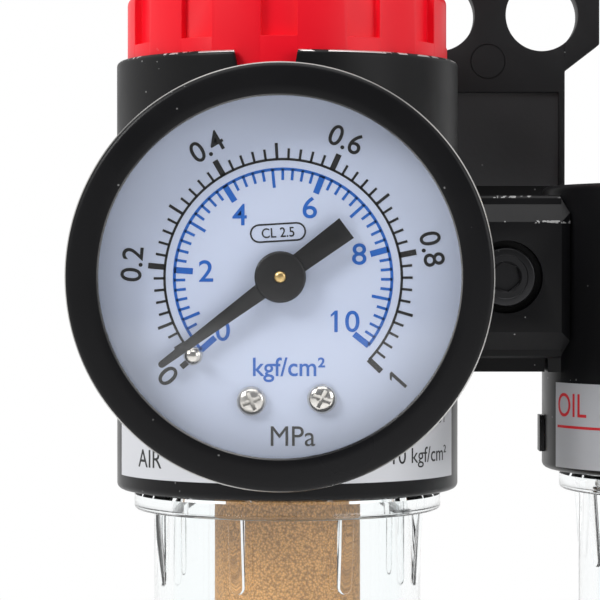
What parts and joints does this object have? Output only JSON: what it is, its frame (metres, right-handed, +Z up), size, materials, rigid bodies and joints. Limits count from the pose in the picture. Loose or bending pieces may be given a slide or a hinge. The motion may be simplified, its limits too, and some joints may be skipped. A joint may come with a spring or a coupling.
{
  "type": "filter regulator lubricator",
  "caption": "Compressed-air filter regulator with a round pressure gauge and red knob, clamped beside a lubricator on a wall bracket, both with clear bowls.",
  "frame": {"origin": "centre of the bracket's flat back face, midway between the two mounting slots", "axes": "+X along the air flow from inlet to outlet, +Y into the wall, +Z up; the gauge faces -Y"},
  "size_m": [0.0919, 0.0695, 0.1395],
  "materials": {
    "black_enamel": "satin black enamel",
    "black_plastic": "satin moulded black plastic",
    "red_plastic": "bright red moulded plastic",
    "clear_plastic": "clear polycarbonate",
    "dial_white": "pale matt dial paint",
    "white_acetal": "natural white acetal",
    "steel": "bright spring steel",
    "nickel": "nickel plated",
    "brass": "turned brass",
    "sintered_bronze": "grainy sintered bronze",
    "rubber": "black nitrile rubber"
  },
  "bodies": {
    "casing": {"bonnet": "black_plastic", "bourdon_tube": "brass", "bracket": "black_plastic", "clamp_screw_front": "black_enamel", "clamp_screw_rear": "black_enamel", "deflector": "white_acetal", "dial_screw_left": "nickel", "dial_screw_right": "nickel", "diaphragm": "rubber", "dome_ring": "black_plastic", "drip_nozzle": "brass", "element_baffle": "white_acetal", "element_nut": "steel", "filter_bowl_o_ring": "rubber", "filter_element": "sintered_bronze", "front_clamp": "black_plastic", "gauge_bezel": "black_enamel", "gauge_case": "black_enamel", "gauge_dial": "dial_white", "gauge_lens": "clear_plastic", "gauge_link": "steel", "gauge_port_plug": "nickel", "gauge_socket": "brass", "joint_seal_left": "rubber", "joint_seal_right": "rubber", "joint_spacer": "black_enamel", "lubricator_body": "black_enamel", "movement_frame": "brass", "oil_bowl_o_ring": "rubber", "regulating_spring": "steel", "regulator_body": "black_enamel", "sight_dome": "clear_plastic", "siphon_filter": "sintered_bronze", "siphon_tube": "clear_plastic", "stop_pin": "nickel", "valve_guide": "brass", "valve_spring": "steel", "venturi": "brass"},
    "screw": {"adjusting_screw": "steel"},
    "knob": {"adjusting_knob": "red_plastic"},
    "spring_seat": {"spring_seat_nut": "brass"},
    "valve": {"valve_poppet": "brass", "diaphragm_plate": "brass"},
    "filter_bowl_unit": {"filter_bowl": "clear_plastic", "drain_spring": "steel"},
    "drain": {"drain_valve": "black_plastic"},
    "oil_bowl_unit": {"oil_bowl": "clear_plastic"},
    "drip_knob": {"drip_adjuster": "black_plastic"},
    "fill_plug": {"oil_fill_plug": "brass"},
    "pointer": {"gauge_pointer": "black_enamel", "pointer_shaft": "brass"},
    "sector": {"gear_sector": "brass"}
  },
  "joints": [
    {"name": "knob_turn", "type": "hinge", "parent": "casing", "child": "screw", "pos_m": [-0.025, -0.0225, -0.044], "axis": [0, 0, 1], "range_deg": [-720, 0]},
    {"name": "knob_lift", "type": "slide", "parent": "screw", "child": "knob", "axis": [0, 0, 1], "range_m": [0, 0.0025]},
    {"name": "spring_seat_travel", "type": "slide", "parent": "casing", "child": "spring_seat", "axis": [0, 0, 1], "range_m": [-0.002, 0], "deforming": ["regulating_spring"]},
    {"name": "valve_open", "type": "slide", "parent": "casing", "child": "valve", "axis": [0, 0, 1], "range_m": [-0.0008, 0], "stiffness_N_per_m": 500, "springref_m": 0.001, "deforming": ["valve_spring", "diaphragm"]},
    {"name": "filter_bowl_removal", "type": "slide", "parent": "casing", "child": "filter_bowl_unit", "axis": [0, 0, 1], "range_m": [-0.06, 0]},
    {"name": "drain_push", "type": "slide", "parent": "filter_bowl_unit", "child": "drain", "axis": [0, 0, 1], "range_m": [0, 0.002], "stiffness_N_per_m": 300, "springref_m": -0.001, "deforming": ["drain_spring"]},
    {"name": "oil_bowl_removal", "type": "slide", "parent": "casing", "child": "oil_bowl_unit", "axis": [0, 0, 1], "range_m": [-0.06, 0]},
    {"name": "drip_adjust", "type": "hinge", "parent": "casing", "child": "drip_knob", "pos_m": [0.025, -0.0225, -0.044], "axis": [0, 0, 1], "range_deg": [-360, 360]},
    {"name": "fill_plug_removal", "type": "slide", "parent": "casing", "child": "fill_plug", "axis": [0, 0, 1], "range_m": [0, 0.015]},
    {"name": "sector_turn", "type": "hinge", "parent": "casing", "child": "sector", "pos_m": [-0.03308, -0.061, -0.03683], "axis": [0, -1, 0], "range_deg": [0, 52.6], "stiffness_Nm_per_rad": 0.002, "springref_deg": -1.15},
    {"name": "pointer_turn", "type": "hinge", "parent": "casing", "child": "pointer", "pos_m": [-0.025, -0.0665, -0.044], "axis": [0, -1, 0], "range_deg": [-263, 0]}
  ],
  "couplings": [
    {"joint": "spring_seat_travel", "follows": "knob_turn", "m_per_rad": 0.00015914},
    {"joint": "pointer_turn", "follows": "sector_turn", "ratio": -5}
  ]
}
